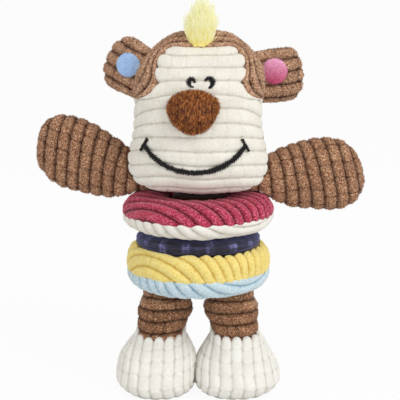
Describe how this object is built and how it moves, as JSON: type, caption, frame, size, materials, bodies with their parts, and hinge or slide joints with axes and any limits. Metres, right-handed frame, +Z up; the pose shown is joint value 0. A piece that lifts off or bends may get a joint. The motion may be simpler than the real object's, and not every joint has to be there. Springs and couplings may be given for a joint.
{
  "type": "plush monkey toy",
  "caption": "Standing corduroy plush monkey with a stuffed nose, a stitched smile, paddle arms, rounded feet and padded rings stacked on its torso.",
  "frame": {"origin": "on the floor, under the middle of the standing toy's box", "axes": "+Z up through the head, -Y out of the face, +X to the toy's own left"},
  "size_m": [0.2164, 0.0998, 0.2521],
  "materials": {
    "brown_corduroy": "wide-wale corduroy with a soft pile",
    "cream_corduroy": "wide-wale corduroy, lightly creased across the ribs",
    "pink_corduroy": "wide-wale corduroy",
    "white_corduroy": "wide-wale corduroy",
    "navy_check": "flat woven check",
    "yellow_corduroy": "wide-wale corduroy",
    "blue_corduroy": "wide-wale corduroy",
    "nose_plush": "short dense plush",
    "black_thread": "satin stitch",
    "yellow_fur": "long silky pile",
    "pink_felt": "short plush",
    "blue_felt": "short plush",
    "stuffing": "loose fibre",
    "squeaker_plastic": "blow-moulded"
  },
  "bodies": {
    "torso": {"torso_sleeve": "brown_corduroy", "torso_base_panel": "brown_corduroy", "torso_stuffing": "stuffing"},
    "neck": {"neck_cover": "brown_corduroy", "neck_stuffing": "stuffing"},
    "head": {"face_panel": "cream_corduroy", "head_crown_band": "brown_corduroy", "head_back_panel": "brown_corduroy", "head_stuffing": "stuffing", "squeaker_bulb": "squeaker_plastic", "squeaker_reed": "squeaker_plastic", "nose_cover": "nose_plush", "nose_stuffing": "stuffing", "left_eye": "black_thread", "right_eye": "black_thread", "smile_stitching": "black_thread", "hair_tuft": "yellow_fur"},
    "upper_ring": {"upper_ring_top": "pink_corduroy", "upper_ring_bottom": "white_corduroy", "upper_ring_stuffing": "stuffing"},
    "middle_ring": {"middle_ring_top": "navy_check", "middle_ring_bottom": "navy_check", "middle_ring_stuffing": "stuffing"},
    "lower_ring": {"lower_ring_top": "yellow_corduroy", "lower_ring_bottom": "blue_corduroy", "lower_ring_stuffing": "stuffing"},
    "left_ear": {"left_ear_front": "brown_corduroy", "left_ear_back": "brown_corduroy", "left_ear_batting": "stuffing", "left_ear_patch": "pink_felt"},
    "left_arm": {"left_arm_front": "brown_corduroy", "left_arm_back": "brown_corduroy", "left_arm_stuffing": "stuffing"},
    "left_leg": {"left_leg_sleeve": "brown_corduroy", "left_foot_upper": "cream_corduroy", "left_foot_sole": "cream_corduroy", "left_leg_stuffing": "stuffing"},
    "right_ear": {"right_ear_front": "brown_corduroy", "right_ear_back": "brown_corduroy", "right_ear_batting": "stuffing", "right_ear_patch": "blue_felt"},
    "right_arm": {"right_arm_front": "brown_corduroy", "right_arm_back": "brown_corduroy", "right_arm_stuffing": "stuffing"},
    "right_leg": {"right_leg_sleeve": "brown_corduroy", "right_foot_upper": "cream_corduroy", "right_foot_sole": "cream_corduroy", "right_leg_stuffing": "stuffing"}
  },
  "joints": [
    {"name": "neck_turn", "type": "hinge", "parent": "torso", "child": "neck", "pos_m": [-0.00147, 0.00241, 0.136], "axis": [0, 0, 1], "range_deg": [-15, 15], "stiffness_Nm_per_rad": 0.08},
    {"name": "head_nod", "type": "hinge", "parent": "neck", "child": "head", "pos_m": [-0.00147, 0.00241, 0.136], "axis": [1, 0, 0], "range_deg": [-6, 6], "stiffness_Nm_per_rad": 0.3},
    {"name": "left_ear_fold", "type": "hinge", "parent": "head", "child": "left_ear", "pos_m": [0.03908, 0.01741, 0.2026], "axis": [-0.2079, 0, 0.9781], "range_deg": [-20, 20], "stiffness_Nm_per_rad": 0.01},
    {"name": "right_ear_fold", "type": "hinge", "parent": "head", "child": "right_ear", "pos_m": [-0.04039, 0.01741, 0.2061], "axis": [-0.3253, 0.1057, -0.9397], "range_deg": [-20, 20], "stiffness_Nm_per_rad": 0.01},
    {"name": "left_arm_swing", "type": "hinge", "parent": "torso", "child": "left_arm", "pos_m": [0.0179, 0.00841, 0.1315], "axis": [-0.0595, -0.0137, 0.9981], "range_deg": [-10, 30], "stiffness_Nm_per_rad": 0.05},
    {"name": "right_arm_swing", "type": "hinge", "parent": "torso", "child": "right_arm", "pos_m": [-0.02083, 0.00841, 0.1315], "axis": [-0.3092, 0.0714, -0.9483], "range_deg": [-10, 30], "stiffness_Nm_per_rad": 0.05},
    {"name": "left_hip_swing", "type": "hinge", "parent": "torso", "child": "left_leg", "pos_m": [0.02653, 0.00041, 0.052], "axis": [-1, 0, 0], "range_deg": [-30, 55], "stiffness_Nm_per_rad": 0.6},
    {"name": "right_hip_swing", "type": "hinge", "parent": "torso", "child": "right_leg", "pos_m": [-0.02947, 0.00041, 0.052], "axis": [-1, 0, 0], "range_deg": [-30, 55], "stiffness_Nm_per_rad": 0.6},
    {"name": "upper_ring_spin", "type": "hinge", "parent": "torso", "child": "upper_ring", "pos_m": [-0.00147, 0.00041, 0.1164], "axis": [0, 0, 1], "continuous": true},
    {"name": "middle_ring_spin", "type": "hinge", "parent": "torso", "child": "middle_ring", "pos_m": [-0.00147, 0.00041, 0.0981], "axis": [0, 0, 1], "continuous": true},
    {"name": "lower_ring_spin", "type": "hinge", "parent": "torso", "child": "lower_ring", "pos_m": [-0.00147, 0.00041, 0.0798], "axis": [0, 0, 1], "continuous": true}
  ]
}
